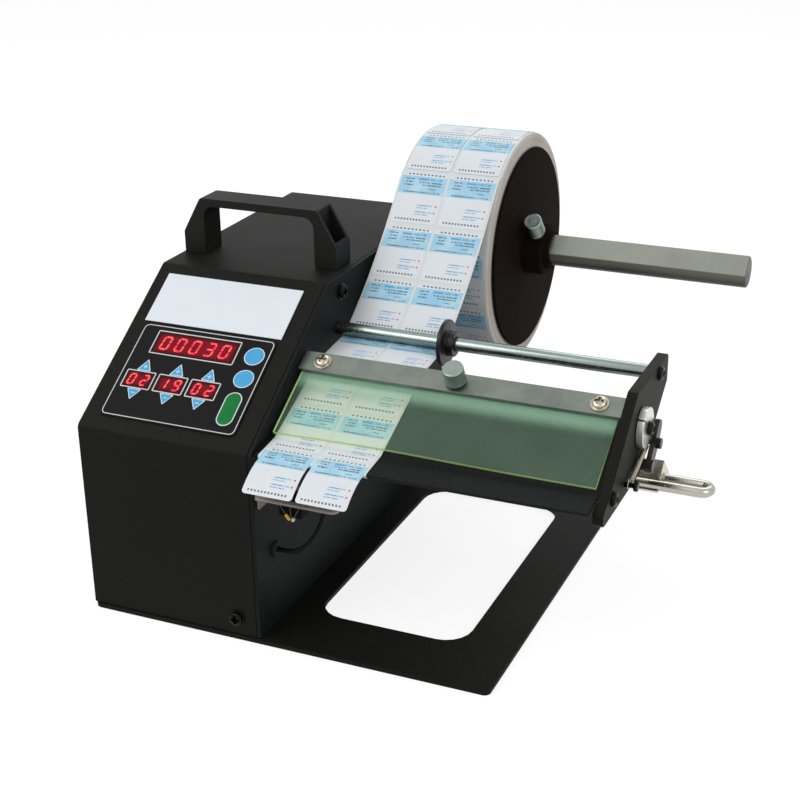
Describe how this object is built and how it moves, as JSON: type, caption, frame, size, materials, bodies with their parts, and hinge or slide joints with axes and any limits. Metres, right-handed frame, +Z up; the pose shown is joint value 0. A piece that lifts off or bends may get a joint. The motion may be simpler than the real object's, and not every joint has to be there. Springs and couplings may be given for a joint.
{
  "type": "label dispenser",
  "caption": "Desk label dispenser: black control box with keypad, carrying handle, supply reel, peel plate, driven roller with sprung pinch lever, and liner rewinder.",
  "frame": {"origin": "on the underside of the base plate, below the side plate and halfway back", "axes": "+X to the right along the rollers and the spindle, +Y to the back, +Z up; the labels leave towards -Y"},
  "size_m": [0.3488, 0.3512, 0.2487],
  "materials": {
    "black_paint": "fine textured powder coat",
    "black_plastic": "satin moulded",
    "steel": "drawn and turned",
    "bright_plating": "nickel plated",
    "black_steel": "black oxide",
    "aluminium": "turned",
    "rubber": "matt",
    "green_acrylic": "translucent, cut edges bright",
    "paper": "coated label paper",
    "card": "wound card",
    "panel_white": "blank sheet label",
    "panel_black": "embossed membrane",
    "display_red": "red filter",
    "board_green": "solder resist",
    "grey_paint": "satin"
  },
  "bodies": {
    "frame": {"base_plate": "black_paint", "control_cover": "black_paint", "inner_side_plate": "black_paint", "cover_screw": "black_steel", "side_screw": "black_steel", "carry_handle": "black_plastic", "name_plate": "panel_white", "keypad_overlay": "panel_black", "count_display": "display_red", "setting_display_left": "display_red", "setting_display_middle": "display_red", "setting_display_right": "display_red", "display_board": "board_green", "control_board": "board_green", "power_entry": "black_plastic", "gear_motor": "steel", "motor_bracket": "steel", "spindle_housing": "aluminium", "rewind_belt": "rubber", "outer_side_plate": "black_paint", "guide_rod": "bright_plating", "tie_rod": "steel", "rod_end_screw": "black_steel", "tie_rod_screw": "black_steel", "peel_plate": "black_paint", "clamp_strip": "steel", "hold_down_plate": "green_acrylic", "clamp_rail": "black_paint", "strip_screw_left": "bright_plating", "strip_screw_right": "bright_plating", "lower_spring_post": "black_steel", "tension_spring": "bright_plating", "label_web": "paper", "peeled_label_left": "paper", "peeled_label_right": "paper", "sensor_shelf": "grey_paint", "grommet": "rubber"},
    "drive_roller": {"drive_shaft": "steel", "drive_sleeve": "rubber", "drive_pulley": "aluminium", "shaft_collar": "aluminium", "collar_screw": "black_steel"},
    "pinch_lever": {"pinch_yoke": "steel", "release_lever": "black_steel"},
    "pinch_roller": {"pinch_roller": "rubber"},
    "rewinder": {"rewind_shaft": "steel", "rewind_pulley": "aluminium"},
    "liner_clip": {"u_clip": "bright_plating"},
    "wound_liner": {"liner_roll": "paper"},
    "supply_reel": {"supply_spindle": "steel", "inner_flange": "black_plastic", "roll_core": "card", "label_roll": "paper"},
    "outer_flange": {"outer_flange": "black_plastic"},
    "flange_screw": {"flange_thumb_screw": "bright_plating"},
    "guide_collar": {"guide_collar": "black_plastic"},
    "strip_screw": {"strip_thumb_screw": "bright_plating"},
    "label_sensor": {"sensor_head": "black_plastic", "sensor_lead": "black_plastic"},
    "power_rocker": {"power_rocker": "black_plastic"}
  },
  "joints": [
    {"name": "drive_spin", "type": "hinge", "parent": "frame", "child": "drive_roller", "pos_m": [0.0973, -0.0635, 0.1389], "axis": [1, 0, 0], "continuous": true},
    {"name": "pinch_lever_swing", "type": "hinge", "parent": "frame", "child": "pinch_lever", "pos_m": [0.0973, -0.0645, 0.117], "axis": [-1, 0, 0], "range_deg": [0, 12], "stiffness_Nm_per_rad": 1, "springref_deg": -17.19, "deforming": ["tension_spring"]},
    {"name": "pinch_roller_spin", "type": "hinge", "parent": "pinch_lever", "child": "pinch_roller", "pos_m": [0.0973, -0.05133, 0.12775], "axis": [1, 0, 0], "continuous": true},
    {"name": "rewind_spin", "type": "hinge", "parent": "frame", "child": "rewinder", "pos_m": [0.0973, -0.0283, 0.093], "axis": [1, 0, 0], "continuous": true},
    {"name": "liner_clip_slide", "type": "slide", "parent": "rewinder", "child": "liner_clip", "axis": [1, 0, 0], "range_m": [0, 0.18]},
    {"name": "wound_liner_slide", "type": "slide", "parent": "rewinder", "child": "wound_liner", "axis": [1, 0, 0], "range_m": [0, 0.2]},
    {"name": "supply_spin", "type": "hinge", "parent": "frame", "child": "supply_reel", "pos_m": [0.0973, 0.1147, 0.1738], "axis": [1, 0, 0], "continuous": true},
    {"name": "outer_flange_slide", "type": "slide", "parent": "supply_reel", "child": "outer_flange", "axis": [1, 0, 0], "range_m": [0, 0.125]},
    {"name": "flange_screw_turn", "type": "hinge", "parent": "outer_flange", "child": "flange_screw", "pos_m": [0.08297, 0.1147, 0.1738], "axis": [0, -0.6691, 0.7431], "range_deg": [0, 360]},
    {"name": "guide_collar_slide", "type": "slide", "parent": "frame", "child": "guide_collar", "axis": [1, 0, 0], "range_m": [0, 0.112]},
    {"name": "strip_screw_turn", "type": "hinge", "parent": "frame", "child": "strip_screw", "pos_m": [0.0973, -0.07575, 0.15401], "axis": [0, -0.4679, 0.8838], "range_deg": [0, 720]},
    {"name": "sensor_slide", "type": "slide", "parent": "frame", "child": "label_sensor", "axis": [1, 0, 0], "range_m": [-0.005, 0.005]},
    {"name": "power_rocker_tilt", "type": "hinge", "parent": "frame", "child": "power_rocker", "pos_m": [-0.06485, 0.1428, 0.05975], "axis": [1, 0, 0], "range_deg": [0, 16]}
  ],
  "couplings": [
    {"joint": "pinch_roller_spin", "follows": "drive_spin", "ratio": -1.3846},
    {"joint": "rewind_spin", "follows": "drive_spin", "ratio": 0.75}
  ]
}
